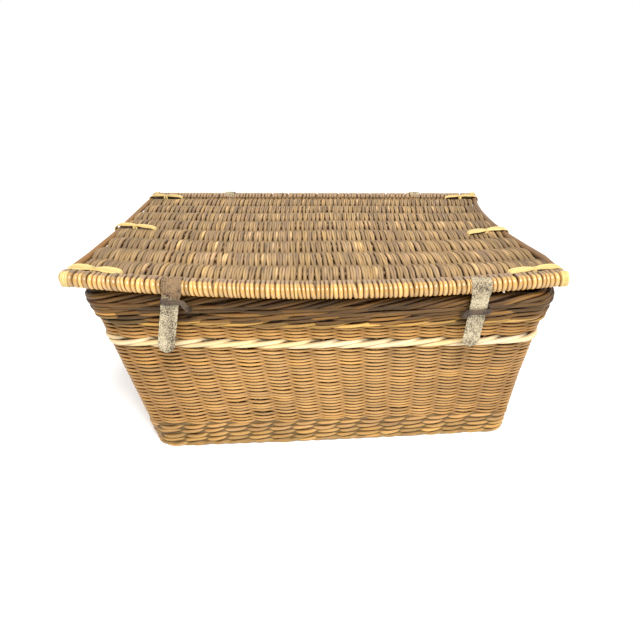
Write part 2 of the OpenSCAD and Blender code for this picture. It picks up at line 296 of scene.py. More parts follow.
def willow(name, rough=0.5, grain=0.22, bump=0.35, coat=0.0, spot=0.35, spec=0.5):
    """Willow rod: colour from the piece's tint, streaks along the rod, small dark buds, fine long bump."""
    m = bpy.data.materials.new(name)
    m.use_nodes = True
    nt = m.node_tree
    nt.nodes.clear()
    L = nt.links.new
    out = nd(nt, "ShaderNodeOutputMaterial")
    bs = nd(nt, "ShaderNodeBsdfPrincipled")
    L(bs.outputs[0], out.inputs[0])
    tint = nd(nt, "ShaderNodeAttribute", attribute_name="tint")
    rod = nd(nt, "ShaderNodeAttribute", attribute_name="rod")
    mp = nd(nt, "ShaderNodeMapping")
    mp.inputs["Scale"].default_value = (0.022, 1.6, 1.6)
    L(rod.outputs["Vector"], mp.inputs["Vector"])
    n1 = nd(nt, "ShaderNodeTexNoise")
    n1.inputs["Scale"].default_value = 2.2
    n1.inputs["Detail"].default_value = 4.0
    n1.inputs["Roughness"].default_value = 0.6
    L(mp.outputs[0], n1.inputs["Vector"])
    r1 = nd(nt, "ShaderNodeMapRange")
    r1.inputs["From Min"].default_value = 0.3
    r1.inputs["From Max"].default_value = 0.7
    r1.inputs["To Min"].default_value = 1.0 - grain
    r1.inputs["To Max"].default_value = 1.0 + grain * 0.75
    L(n1.outputs["Fac"], r1.inputs["Value"])
    # slow change of tone over the piece
    tc = nd(nt, "ShaderNodeTexCoord")
    n2 = nd(nt, "ShaderNodeTexNoise")
    n2.inputs["Scale"].default_value = 14.0
    n2.inputs["Detail"].default_value = 3.0
    L(tc.outputs["Object"], n2.inputs["Vector"])
    r2 = nd(nt, "ShaderNodeMapRange")
    r2.inputs["From Min"].default_value = 0.3
    r2.inputs["From Max"].default_value = 0.7
    r2.inputs["To Min"].default_value = 0.88
    r2.inputs["To Max"].default_value = 1.1
    L(n2.outputs["Fac"], r2.inputs["Value"])
    mul = nd(nt, "ShaderNodeMath", operation="MULTIPLY")
    L(r1.outputs[0], mul.inputs[0])
    L(r2.outputs[0], mul.inputs[1])
    # buds: a dark fleck now and then along the rod
    mp2 = nd(nt, "ShaderNodeMapping")
    mp2.inputs["Scale"].default_value = (0.06, 0.9, 0.9)
    L(rod.outputs["Vector"], mp2.inputs["Vector"])
    vo = nd(nt, "ShaderNodeTexVoronoi")
    vo.inputs["Scale"].default_value = 1.0
    L(mp2.outputs[0], vo.inputs["Vector"])
    r3 = nd(nt, "ShaderNodeMapRange")
    r3.inputs["From Min"].default_value = 0.06
    r3.inputs["From Max"].default_value = 0.17
    r3.inputs["To Min"].default_value = 1.0 - spot
    r3.inputs["To Max"].default_value = 1.0
    L(vo.outputs["Distance"], r3.inputs["Value"])
    mul2 = nd(nt, "ShaderNodeMath", operation="MULTIPLY")
    L(mul.outputs[0], mul2.inputs[0])
    L(r3.outputs[0], mul2.inputs[1])
    vm = nd(nt, "ShaderNodeVectorMath", operation="SCALE")
    L(tint.outputs["Color"], vm.inputs[0])
    L(mul2.outputs[0], vm.inputs["Scale"])
    L(vm.outputs[0], bs.inputs["Base Color"])
    rr = nd(nt, "ShaderNodeMapRange")
    rr.inputs["To Min"].default_value = rough - 0.1
    rr.inputs["To Max"].default_value = rough + 0.14
    L(n1.outputs["Fac"], rr.inputs["Value"])
    L(rr.outputs[0], bs.inputs["Roughness"])
    mp3 = nd(nt, "ShaderNodeMapping")
    mp3.inputs["Scale"].default_value = (0.05, 3.2, 3.2)
    L(rod.outputs["Vector"], mp3.inputs["Vector"])
    n3 = nd(nt, "ShaderNodeTexNoise")
    n3.inputs["Scale"].default_value = 2.0
    n3.inputs["Detail"].default_value = 5.0
    L(mp3.outputs[0], n3.inputs["Vector"])
    bp = nd(nt, "ShaderNodeBump")
    bp.inputs["Strength"].default_value = bump
    bp.inputs["Distance"].default_value = 0.0006
    L(n3.outputs["Fac"], bp.inputs["Height"])
    L(bp.outputs[0], bs.inputs["Normal"])
    if coat:
        bs.inputs["Coat Weight"].default_value = coat
        bs.inputs["Coat Roughness"].default_value = 0.3
    bs.inputs["Specular IOR Level"].default_value = spec
    return m


def srgb(r, g, b):
    c = np.array([r, g, b]) / 255.0
    return 0.72 * np.where(c <= 0.04045, c / 12.92, ((c + 0.055) / 1.055) ** 2.4)


GOLD = srgb(217, 168, 97)
GOLD_D = srgb(212, 160, 84)
GOLD_M = srgb(206, 160, 96)
PALE = srgb(252, 226, 176)
OLIVE = srgb(206, 162, 92)
# the border's own dark olive-brown, darkened further as painted shade for the shade under the lid
BORDER = srgb(120, 85, 35)
GREYB = srgb(172, 140, 102)
ROLL = srgb(226, 178, 100)
LIDGOLD = srgb(208, 172, 116)
STICK = srgb(150, 112, 66)
SKEIN = srgb(244, 214, 136)

M_GOLD = willow("willow_golden", rough=0.42, spec=0.4)
M_WALE = willow("willow_bottom", rough=0.48, spec=0.35)
M_PALE = willow("willow_pale", rough=0.6, grain=0.14, spot=0.2)
M_BORDER = willow("willow_border", rough=0.5, spec=0.3)
M_LID = willow("willow_lid", rough=0.62, grain=0.2)
M_ROLL = willow("willow_roll", rough=0.27, grain=0.16, spec=0.9)
M_STICK = willow("willow_stick", rough=0.5)
M_SKEIN = willow("willow_skein", rough=0.42, grain=0.12, spot=0.05)


def tone(base, sd=0.1, warm=0.04):
    f = math.exp(rng.normal(0, sd))
    w = rng.normal(0, warm)
    return np.clip(base * f * np.array([1 + w * 0.4, 1.0, 1 - w * 1.6]), 0, 1)


def knots(n, step, sd):
    """A smooth random walk value along n samples, one knot every step samples."""
    k = max(int(n / step) + 3, 4)
    y = rng.normal(0, sd, k)
    x = np.linspace(0, k - 3, n)
    i = np.floor(x).astype(int)
    f = x - i
    f = f * f * (3 - 2 * f)
    return y[i] * (1 - f) + y[i + 1] * f


class Noise2:
    """Smooth noise over stakes round the body and height, for the uneven packing of the rods."""

    def __init__(self, nu, nz, sd):
        self.g = rng.normal(0, sd, (nz + 1, nu))
        self.nu, self.nz = nu, nz

    def __call__(self, u, w):
        x = np.mod(u / NST * self.nu, self.nu)
        y = np.clip(w, 0, 0.9999) * self.nz
        i, j = np.floor(x).astype(int), np.floor(y).astype(int)
        f, g = x - i, y - j
        f = f * f * (3 - 2 * f)
        g = g * g * (3 - 2 * g)
        a = self.g[j, i % self.nu] * (1 - f) + self.g[j, (i + 1) % self.nu] * f
        b = self.g[j + 1, i % self.nu] * (1 - f) + self.g[j + 1, (i + 1) % self.nu] * f
        return a * (1 - g) + b * g


# ------------------------------------------------------------------ plain weaving round the body
def ranges(u0, u1):
    """Splits a stretch of the ring into the walls it crosses: (wall, start, end)."""
    out = []
    for lap in (-1, 0, 1, 2):
        for w, (a, b) in WALLS.items():
            lo, hi = max(u0, a + lap * NST), min(u1, b + lap * NST)
            if hi - lo > 1e-6:
                out.append((w, lo, hi))
    return out


def randing(z0, z1, rows, r_mean, base, per=9, phase=0, lump=None, flank_shade=0.62, seedcol=0.09):
    builds = {w: Build() for w in WALLS}
    pitch = (z1 - z0) / rows
    A = 2.5 + r_mean * 0.9
    for r in range(rows):
        zc = z0 + (r + 0.5) * pitch
        w01 = (r + 0.5) / rows
        # where rods begin: behind a stake
        start = int(rng.integers(0, NST))
        cuts, u = [], start
        while u < start + NST - 8:
            cuts.append(u)
            u += int(rng.integers(9, 15))
        cuts = [c if (c + r + phase) % 2 else c + 1 for c in cuts]
        cuts.append(cuts[0] + NST)
        for a, b in zip(cuts[:-1], cuts[1:]):
            col = tone(base, seedcol)
            g = rng.random() * 50
            flip = rng.random() < 0.3
            ra, rb = (r_mean * 1.07, r_mean * 0.9) if not flip else (r_mean * 0.9, r_mean * 1.07)
            wob = knots(64, 5, 0.26)
            for w, lo, hi in ranges(a - 0.42, b + 0.42):
                n = max(int(round((hi - lo) * per)) + 1, 3)
                u = np.linspace(lo, hi, n)
                x = np.pi * (u + r + phase)
                cx = np.cos(x)
                off = A * (0.97 * cx + 0.03 * np.cos(3 * x))
                end = np.clip((a + 0.15 - u) / 0.57, 0, 1) + np.clip((u - b + 0.15) / 0.57, 0, 1)
                off = off - 2.0 * end - np.where(end > 0, 0.6, 0) * end
                f = np.clip((u - a) / (b - a), 0, 1)
                z = zc + np.interp(f, np.linspace(0, 1, 64), wob)
                if lump is not None:
                    z = z + lump(u, w01)
                z = z + np.where(u < (a + b) / 2, -0.7, 0.7) * end
                p, nrm = wall(u, z, off)
                rad = ra + (rb - ra) * f
                # pressed wide where it crosses a stake, most of all on the inside
                fat = 1.0 + np.where(cx > 0, 0.36 * np.abs(cx) ** 1.1, 0.78 * np.abs(cx) ** 0.7)
                # painted shade: darker where the rod goes in behind a stake, and browner the darker it gets
                dark = 0.42 + 0.58 * np.clip(off / A * 0.8 + 0.55, 0, 1) ** 0.8
                # painted shade: darker towards the corner posts
                near = np.min(np.abs(np.mod(u, NST)[:, None] - np.array([0, 16, 25, 39, 48])[None, :]), axis=1)
                dark = dark * (1 - 0.22 * np.clip(1 - near / 4.5, 0, 1))
                c = col[None, :] * np.column_stack([dark, dark ** 1.2, dark ** 1.5])
                builds[w].tube(p, rad * fat * (1.02 if w == "front" else 1.14), nrm, c, sides=8, flat=0.98 / fat, flank_shade=flank_shade, grain=g)
    return builds


def waling(zc, rise, d, base, front=2, back=1, per=8, phase=0.0, tint_sd=0.07, builds=None, a_out=None, flank_shade=0.55, dirn=1.0, lump=None, w01=0.5, slack=0.0):
    """Rods that each pass in front of some stakes and behind one, climbing as they go."""
    builds = builds or {w: Build() for w in WALLS}
    n = front + back
    A = (3.4 + d * 0.46) if a_out is None else a_out
    for i in range(n):
        g = rng.random() * 50
        nst = NST // n
        strokes = np.array([tone(base, tint_sd) for _ in range(nst + 1)])
        rads = np.clip(rng.normal(1.0, 0.045, nst + 1), 0.9, 1.1)
        dz = rng.normal(0, 0.5 + slack, nst + 1)
        for w, (lo, hi) in WALLS.items():
            m = (hi - lo) * per + 1
            u = np.linspace(lo, hi, m)
            q = u - i + 0.5 + phase
            k = np.floor(q / n).astype(int) % nst
            ph = np.mod(q, n)
            if dirn < 0:
                ph = n - ph
                ph = np.where(ph >= n, 0.0, ph)
            t = np.clip(ph / front, 0, 1)
            tb = np.clip((ph - front) / back, 0, 1)
            off = np.where(ph < front, A * np.sin(np.pi * t) ** 0.55 * (1.08 - 0.16 * t), -A * 0.85 * np.sin(np.pi * tb))
            sm = tb * tb * (3 - 2 * tb)
            z = zc + np.where(ph < front, rise * (t - 0.5), rise * (0.5 - sm))
            z = z + np.where(ph < front, dz[k] * np.sin(np.pi * t), 0)
            if lump is not None:
                z = z + lump(u, w01)
            p, nrm = wall(u, z, off)
            # painted shade: the rod at half brightness where it passes behind a stake
            stake_shade = np.where(ph < front, 0.5 + 0.5 * np.clip(np.sin(np.pi * t) * 2.6, 0, 1), 0.5)
            # the rod is thickest where it shows and narrows where it is pinched between its neighbours
            rad = d / 2 * (0.80 + 0.24 * np.where(ph < front, np.sin(np.pi * t) ** 0.7, 0)) * np.where(ph < front, 1 + (rads[k] - 1) * np.sin(np.pi * t), 1.0)
            c = strokes[k] * stake_shade[:, None]
            builds[w].tube(p, rad, nrm, c, sides=9, flank_shade=flank_shade, grain=g)
    return builds


def finish_walls(builds, label, mat, slot, node):
    for w, b in builds.items():
        b.make(f"rods_{label}_{w}", mat, "basket", f"{node}_{w}", slot=slot)


Z_FOOT, Z_P0, Z_P1, Z_B = 60.0, 236.0, 264.0, 292.0
lump = Noise2(30, 12, 1.25)

# bottom waling: chunky rods, each in front of one stake and behind the next, round by round
bw = None
for r, zc in enumerate((5.4, 16.6, 28.4, 40.0, 51.6)):
    bw = waling(zc, 4.2, [7.2, 7.6, 7.8, 7.6, 7.2][r], [OLIVE, OLIVE, OLIVE, GOLD_M, GOLD_M][r], front=1, back=1, phase=0.30 + [0.0, 0.12, -0.05, 0.1, -0.1][r],
                builds=bw, a_out=4.7, slack=0.9, tint_sd=0.14, per=12, flank_shade=0.65,
                lump=(lambda u, w: 0.6 * lump(u, w)) if r else None, w01=0.1)
# inside the bottom rounds, dark filler rods that stand for the shade there (painted shade), and the twisted pair that
# the basket stands on
for w, (lo, hi) in WALLS.items():
    u = np.linspace(lo, hi, (hi - lo) * 10 + 1)
    for i in range(2):
        a = 2 * np.pi * (u * 0.75) + np.pi * i
        p, nrm = wall(u, 5.4 + 1.7 * np.sin(a), 3.2 + 1.9 * np.cos(a))
        bw[w].tube(p, 3.3, nrm, OLIVE * 0.72, sides=8, flank_shade=0.6)
    # painted shade: dark filler rods (OLIVE × 0.3) inside the rounds
    for z in (11.0, 22.0, 33.0, 44.0, 55.0):
        p, nrm = wall(u, np.full(len(u), z), 0.0)
        bw[w].tube(p, 4.4, nrm, OLIVE * 0.3, sides=6)
finish_walls(bw, "bottom_wale", M_WALE, "stick_willow", "bottom_wale")

finish_walls(randing(Z_FOOT - 3, Z_P0 + 5, 47, 2.14, GOLD, lump=lump, per=9), "randing", M_GOLD, "golden_willow", "randing")
finish_walls(waling((Z_P0 + Z_P1) / 2, 13.0, 8.9, PALE, builds=None, a_out=6.6, flank_shade=0.6, tint_sd=0.09, per=12, slack=0.5), "pale_wale", M_PALE, "pale_willow", "pale_wale")
lump2 = Noise2(22, 2, 0.7)
finish_walls(randing(Z_P1 - 5, Z_B + 1, 9, 2.14, GOLD_D, lump=lump2, phase=1, per=9), "upper_randing", M_GOLD, "golden_willow", "upper_randing")


# ------------------------------------------------------------------ border
BRIGHT = srgb(182, 142, 72)


def border():
    b = None
    # painted shade: the rows darken upwards, from BRIGHT at the foot to BORDER × 0.85 at the top, under the lid's roll
    for zc, ph, d, f, col in ((296.5, 0.3, 7.0, 2, BRIGHT), (304.0, 1.1, 7.0, 2, BORDER * 1.5), (311.5, 2.2, 7.2, 2, BORDER * 1.15), (319.5, 0.6, 7.4, 3, BORDER), (328.0, 1.7, 7.4, 3, BORDER * 0.85)):
        b = waling(zc, 10.5, d, col, front=f, back=1, phase=ph, a_out=8.4 + (zc - 297) * 0.06, tint_sd=0.4, per=10, builds=b, slack=2.4, flank_shade=0.92)
    n, turns = 11, 10
    for i in range(n):
        g = rng.random() * 50
        cols = np.array([tone(BORDER, 0.3) for _ in range(turns + 2)])
        ph = rng.normal(0, 0.05)
        wob = rng.normal(0, 0.8, 13)
        for w, (lo, hi) in WALLS.items():
            m = (hi - lo) * 9 + 1
            u = np.linspace(lo, hi, m)
            turn = u / NST * turns + i / n + ph
            a = 2 * np.pi * turn - np.pi / 2          # climbs on the outside
            wv = np.interp(np.mod(u / 4.0, 12), np.arange(13), np.append(wob[:12], wob[0]))
            off = (9.0 + wv) * np.cos(a)
            z = 336.2 + 9.4 * np.sin(a)
            p, nrm = wall(u, z, off)
            k = np.floor(turn + 0.25).astype(int) % turns
            ref = nrm * np.cos(a)[:, None] + np.array([0, 0, 1.0])[None, :] * np.sin(a)[:, None]
            # painted shade: the rolled top a little darker (× 0.85), under the lid
            b[w].tube(p, 3.5 * (1 + 0.1 * np.sin(a * 2 + i)), ref, cols[k] * 0.85, sides=9, flank_shade=0.92, grain=g)
    # the stakes bent over inside the border, seen only through its gaps, coloured very dark (BORDER × 0.32) as painted
    # shade
    for w, (lo, hi) in WALLS.items():
        u = np.linspace(lo, hi, (hi - lo) * 6 + 1)
        for z, d in ((300.0, 0.0), (309.0, 0.6), (318.0, -0.5), (327.0, 0.4), (336.0, 0.0)):
            p, nrm = wall(u, np.full(len(u), z), d)
            b[w].tube(p, 5.4, nrm, BORDER * 0.32, sides=8)
    return b


finish_walls(border(), "border", M_BORDER, "stick_willow", "border")

# ------------------------------------------------------------------ stakes, posts, base
for w, (lo, hi) in WALLS.items():
    b = Build()
    for u in range(lo + 1, hi):
        z = np.linspace(5, 306, 24)
        p, nrm = wall(np.full(24, float(u)), z, 0.0)
        b.tube(p, np.linspace(3.0, 2.5, 24), nrm, tone(STICK, 0.12), sides=8)
    b.make(f"rods_stakes_{w}", M_STICK, "basket", f"stakes_{w}", slot="stick_willow")
b = Build()
for u in POST[:4]:
    z = np.linspace(4, 306, 24)
    p, nrm = wall(np.full(24, float(u)), z, 0.0)
    b.tube(p, np.linspace(5.9, 5.2, 24), nrm, tone(STICK, 0.1), sides=12)
b.make("rods_corner_posts", M_STICK, "basket", "corner_posts", slot="stick_willow")

b = Build()
base_y = [(2 * i - 6) / 6 * 190.0 for i in range(7)]
for y in base_y:
    x = np.linspace(-344, 344, 60)
    b.tube(np.column_stack([x + body_shift(10), y + 3.6 + body_twist(10) * x + knots(60, 12, 0.8), np.full(60, 12.0)]), 5.3, (0, 0, 1), tone(STICK, 0.1), sides=10)
b.make("rods_base_sticks", M_STICK, "basket", "base_sticks", slot="stick_willow")
b = Build()
nb = 112
for j in range(nb):
    x0 = -342 + 684 * j / (nb - 1)
    y = np.linspace(-226, 226, 78)
    t = (y + 190.0) / (380.0 / 6)
    z = 12 + 6.4 * np.cos(np.pi * (t + j)) * np.clip((240 - np.abs(y)) / 40, 0.4, 1)
    b.tube(np.column_stack([x0 + knots(78, 12, 0.4) + body_shift(10), y + 3.6 + body_twist(10) * x0, z]), 3.4, (0, 0, 1), tone(GOLD_D, 0.1), sides=8, flank_shade=0.5)
b.make("rods_base_weave", M_GOLD, "basket", "base_weave", slot="golden_willow")

# ------------------------------------------------------------------ lid
LZ, LD = 364.0, 272.0
SPX, SPY = 400.0, 544.0


def lid_warp(p):
    """The lid's front edge bows out and droops a little in its middle; the back edge, the hinge, stays straight."""
    p = np.array(p, float)
    y = p[:, 1].copy()
    t = np.clip((LD - y) / (2 * LD), 0, 1.1)
    k = 1 - np.clip(np.abs(p[:, 0]) / 410.0, 0, 1) ** 2
    k0 = 0.628                       # where the straps are, the edge stays on their hinge line
    p[:, 1] -= 19.5 * (k - k0) * t * t
    # the end sticks: the left one nearly straight, the right one bent inwards in its middle
    xr = 383.7 + 27.3 * np.clip((y - 36.0) / 250.0, -0.86, 1.0) ** 2
    xl = -432.0 + 6.0 * np.clip(t, 0, 1)
    p[:, 0] = (xl + xr) / 2 + p[:, 0] * (xr - xl) / 840.0
    p[:, 2] -= 12.9 * (k - k0) * t * t + 3.0 * np.clip(1 - t * 1.6, 0, 1)
    p[:, 2] += 1.3 * np.sin(p[:, 0] / 71.0 + 1.0) * np.sin(np.pi * np.clip(t, 0, 1)) + 0.9 * np.sin(p[:, 1] / 47.0) * k * np.sin(np.pi * np.clip(t, 0, 1))
    return p


stick_y = [-LD + 2 * LD / 9 * (i + 1) for i in range(8)]
b = Build()
for y in stick_y:
    x = np.linspace(-402, 402, 90)
    yy = y + knots(90, 14, 1.6)
    b.tube(lid_warp(np.column_stack([x, yy, LZ + knots(90, 16, 0.5)])), 4.3, (0, 0, 1), tone(STICK, 0.1), sides=10)
b.make("rods_lid_sticks", M_STICK, "lid", "lid_sticks", slot="stick_willow")
for nm, y in (("front", -LD), ("back", LD)):
    b = Build()
    x = np.linspace(-400, 400, 90)
    b.tube(lid_warp(np.column_stack([x, np.full(90, y), np.full(90, LZ)])), 5.6, (0, 0, 1), tone(STICK, 0.05), sides=12)
    b.make(f"rods_lid_{nm}_stick", M_STICK, "lid", f"lid_{nm}_stick", slot="stick_willow")

# the lid's weaving: pairs of thin rods from front to back, over and under the lengthwise sticks
weave = [Build() for _ in range(4)]
nw = 158
xs = np.linspace(-400, 400, nw) + rng.normal(0, 0.5, nw)
lean = knots(nw, 9, 4.5)
for j in range(nw):
    n = 96
    y = np.linspace(-LD + 6, LD - 6, n)
    t = (y + LD) / (2 * LD / 9)
    amp = 5.9 * np.clip(np.minimum(t, 9 - t) / 0.5 + 0.35, 0, 1)
    ph = np.pi * (t + j)
    sgn = np.cos(ph)
    z0 = amp * (0.95 * sgn + 0.05 * np.cos(3 * ph))
    x = xs[j] + knots(n, 13, 0.7) + lean[j] * (0.5 - (y + LD) / (2 * LD)) * 0.6
    pair = 1 if rng.random() < 0.16 else 2
    warm = np.clip(rng.normal(0.35, 0.3), 0, 1)
    for side in range(pair):
        spread = (side - 0.5) * 2 * (0.9 + 1.45 * np.abs(sgn) ** 0.7) if pair == 2 else 0.0
        z = LZ + z0 + rng.normal(0, 0.25)
        f = np.clip((z0 / 5.9) * 0.75 + 0.5, 0, 1)[:, None]
        # painted shade: the top colour darker towards the lid's two ends
        up = tone(GREYB * (1 - warm) + LIDGOLD * warm, 0.15, 0.05) * (0.81 - 0.18 * np.clip(1 - min(j, nw - 1 - j) / 26.0, 0, 1))
        fleck = np.interp(np.arange(n), np.arange(0, n, 5), np.clip(rng.normal(0.0, 0.35, len(np.arange(0, n, 5))), 0, 1))[:, None]
        up = up[None, :] * (1 - fleck) + LIDGOLD[None, :] * fleck
        # painted highlight: a few of the high spots brightened, as glints
        seg = np.floor(t + j + 0.5).astype(int)
        crest_glint = np.where(rng.random(40)[np.mod(seg, 40)] < 0.09, 1.0, 0.0) * np.clip(sgn * 2.2 - 1.1, 0, 1)
        up = up * (1 + 0.75 * crest_glint[:, None])
        # painted shade: where the rod dips under a stick it turns to a gold darkened to 0.30, the shade in the slots;
        # high up it keeps its top colour
        c = tone(GOLD, 0.08)[None, :] * 0.30 * (1 - f) + up * f
        r0 = (2.68 if pair == 2 else 3.8) * rng.normal(1, 0.05)
        weave[min(j * 4 // nw, 3)].tube(lid_warp(np.column_stack([x + spread + knots(n, 11, 0.3), y, z])), np.linspace(r0 * 1.04, r0 * 0.96, n), (0, 0, 1), c,
                                        sides=8, flat=0.95, flank_shade=0.6)
for i, b in enumerate(weave):
    b.make(f"rods_lid_weave_{i + 1}", M_LID, "lid", *(["lid_weave"] if i == 0 else []), slot="lid_willow")


def wraps(y0, sgn, name, node):
    """Rods wrapped round an edge stick: out of the weaving, over the top, round the outside and back below."""
    b = Build()
    x = -419.0
    while x < 413.0:
        r = float(np.clip(rng.normal(3.9, 0.55), 2.7, 5.0))
        x += r
        R = (12.4 if sgn > 0 else 11.2) - 0.85 * r
        a = np.radians(np.linspace(70, 292, 30))
        yc = y0 - sgn * R * np.cos(a)
        cy = np.concatenate([[y0 + sgn * 24, y0 + sgn * 14], y0 + sgn * R * np.cos(a), [y0 + sgn * 14, y0 + sgn * 24]])
        cz = np.concatenate([[4.5, 8.6], R * np.sin(a), [-8.6, -4.5]])
        tw = rng.normal(0.0, 1.2)
        cx = np.clip(x, -412, 412) + np.linspace(-1.0, 1.0, len(cy)) * (1.8 + tw)
        col = tone(ROLL, 0.17, 0.05)
        m = len(cy)
        k = np.linspace(0, 1, m)
        top = np.clip((k - 0.0) / 0.18, 0, 1)[:, None]
        c = GREYB * 0.95 * (1 - top) + col * top
        # painted shade: the wrap darkens to 0.55 from the front of the roll round to its underside
        c = c * (0.55 + 0.45 * np.clip(1.5 - 2.4 * np.clip(k - 0.45, 0, 1), 0, 1))[:, None]
        # reference direction: out from the stick
        ref = np.column_stack([np.zeros(m), (cy - y0), cz])
        ref[0] = ref[1] = (0, 0, 1)
        ref[-1] = ref[-2] = (0, 0, -1)
        ref /= np.linalg.norm(ref, axis=1)[:, None]
        b.tube(lid_warp(np.column_stack([cx, cy, cz + LZ])), r * 0.99, ref, c, sides=10, flat=0.88, flank_shade=0.85)
        x += r * 1.04
    return b.make(name, M_ROLL, "lid", node, slot="roll_willow")


wraps(-LD, 1.0, "rods_lid_front_roll", "lid_front_roll")
wraps(LD, -1.0, "rods_lid_back_roll", "lid_back_roll")

for nm, s in (("left", -1), ("right", 1)):
    b = Build()
    y = np.linspace(-262, 288, 70)
    bend = 3.0 * np.sin((y + 264) / 552 * np.pi * 2.2 + (0.4 if s > 0 else 1.2)) + knots(70, 12, 0.8)
    x = s * (412 + bend * 0.9 - (2.5 if s > 0 else 0))
    b.tube(lid_warp(np.column_stack([x, y, LZ + 1.0 + knots(70, 14, 0.6)])), np.linspace(7.0, 5.8, 70) * (1.0 if s > 0 else 0.88), (0, 0, 1), tone(srgb(134, 98, 58) if s > 0 else srgb(156, 112, 60), 0.03), sides=14)
    b.make(f"rod_lid_end_stick_{nm}", M_STICK, "lid", f"lid_end_stick_{nm}", slot="stick_willow")

# lashings of split willow
TH = np.linspace(0, 2 * np.pi, 12, endpoint=False)


def strip(w, t, p=0.5):
    """Cross-section of a flat strip: w wide, t thick, with soft edges, for tube() with rad=1."""
    c, s = np.cos(TH), np.sin(TH)
    return (np.sign(c) * np.abs(c) ** 0.8 * t / 2, np.sign(s) * np.abs(s) ** p * w / 2)


def lashing(name, s, y0, node, ln=82.0, spread=7.6, tilt=0.0):
    b = Build()
    xe = 412.0
    xi = xe - ln
    n = 5
    for i in range(n):
        k = (i - (n - 1) / 2) / ((n - 1) / 2)
        up = 1.2 + 0.9 * (1 - k * k) + rng.normal(0, 0.25)
        pts = []
        # over the end stick, inwards above the weave, down through it, back below
        for a in np.radians(np.linspace(-90, 90, 14)):
            pts.append((xe + 8.0 * math.cos(a), 9.4 * math.sin(a)))
        top = np.linspace(xe - 7, xi + 5, 18)
        for x in top:
            t = (xe - x) / ln
            pts.append((x, 9.4 + up + 1.3 * math.sin(math.pi * t) - 1.2 * math.exp(-((t - 0.5) / 0.1) ** 2)))
        for a in np.radians(np.linspace(80, 280, 10)):
            pts.append((xi + 3 * math.cos(a), 9.6 * math.sin(a)))
        for x in top[::-1]:
            pts.append((x, -10.2))
        pts = np.array(pts)
        u = np.clip((xe - pts[:, 0]) / ln, 0, 1)
        pinch = 1.12 - 0.72 * np.exp(-((u - 0.5) / 0.17) ** 2) - 0.35 * np.clip((u - 0.75) / 0.25, 0, 1) - 0.2 * np.clip((0.15 - u) / 0.15, 0, 1)
        yy = y0 + k * spread * pinch + tilt * (u - 0.5)
        col = tone(SKEIN, 0.09, 0.03)
        p = np.column_stack([s * pts[:, 0], yy, LZ + pts[:, 1]])
        ref = np.column_stack([p[:, 0] - s * xe, np.zeros(len(p)), p[:, 2] - LZ])
        inner = np.clip((xe - np.abs(p[:, 0])) / 12.0, 0, 1)
        ref[:, 0] *= 1 - inner
        ref /= np.linalg.norm(ref, axis=1)[:, None] + 1e-9
        b.tube(lid_warp(p), 1.0, ref, col, prof=strip(5.4, 1.6), closed=True, flank_shade=0.35)
    for i in range(2):
        a = np.linspace(0, 2 * np.pi, 32, endpoint=False)
        x0 = s * (xe - ln * 0.5 + (i - 0.5) * 4.6)
        p = np.column_stack([x0 + 2.2 * np.sin(a + 2.4 * i) * (1 if i else -1), y0 + tilt * 0.0 + 7.0 * np.cos(a), LZ + 12.2 * np.sign(np.sin(a)) * np.abs(np.sin(a)) ** 0.6])
        ref = np.column_stack([np.zeros(32), np.cos(a) * 0.6, np.sin(a)])
        ref /= np.linalg.norm(ref, axis=1)[:, None]
        b.tube(lid_warp(p), 1.0, ref, tone(SKEIN, 0.06) * 0.82, prof=strip(4.4, 1.6), closed=True, flank_shade=0.4)
    # at the corners the willow also goes once round the end of the rolled edge
    if abs(y0) > 200:
        e = -1 if y0 < 0 else 1
        for i in range(3):
            a = np.linspace(0, 2 * np.pi, 30, endpoint=False)
            cy = e * LD
            R = 12.6 if e < 0 else 11.6
            x0 = s * (408.0 + 3.8 * (i - 1))
            p = np.column_stack([np.full(30, x0) + s * 1.0 * np.cos(a + 1), cy + R * np.cos(a), LZ + R * np.sin(a)])
            ref = np.column_stack([np.zeros(30), np.cos(a), np.sin(a)])
            b.tube(lid_warp(p), 1.0, ref, tone(SKEIN, 0.07) * 0.97, prof=strip(4.6, 1.6), closed=True, flank_shade=0.4)
    b.make(name, M_SKEIN, "lid", node, slot="split_willow")


for s, side in ((-1, "left"), (1, "right")):
    lashing(f"skein_front_{side}", s, -243, f"lashing_front_{side}", ln=84, spread=8.8 if s < 0 else 7.6, tilt=-6)
    lashing(f"skein_middle_{side}", s, -8 if s < 0 else -32, f"lashing_middle_{side}", ln=80, tilt=-16)
    lashing(f"skein_back_{side}", s, 243, f"lashing_back_{side}", ln=74, spread=7.0, tilt=-10)


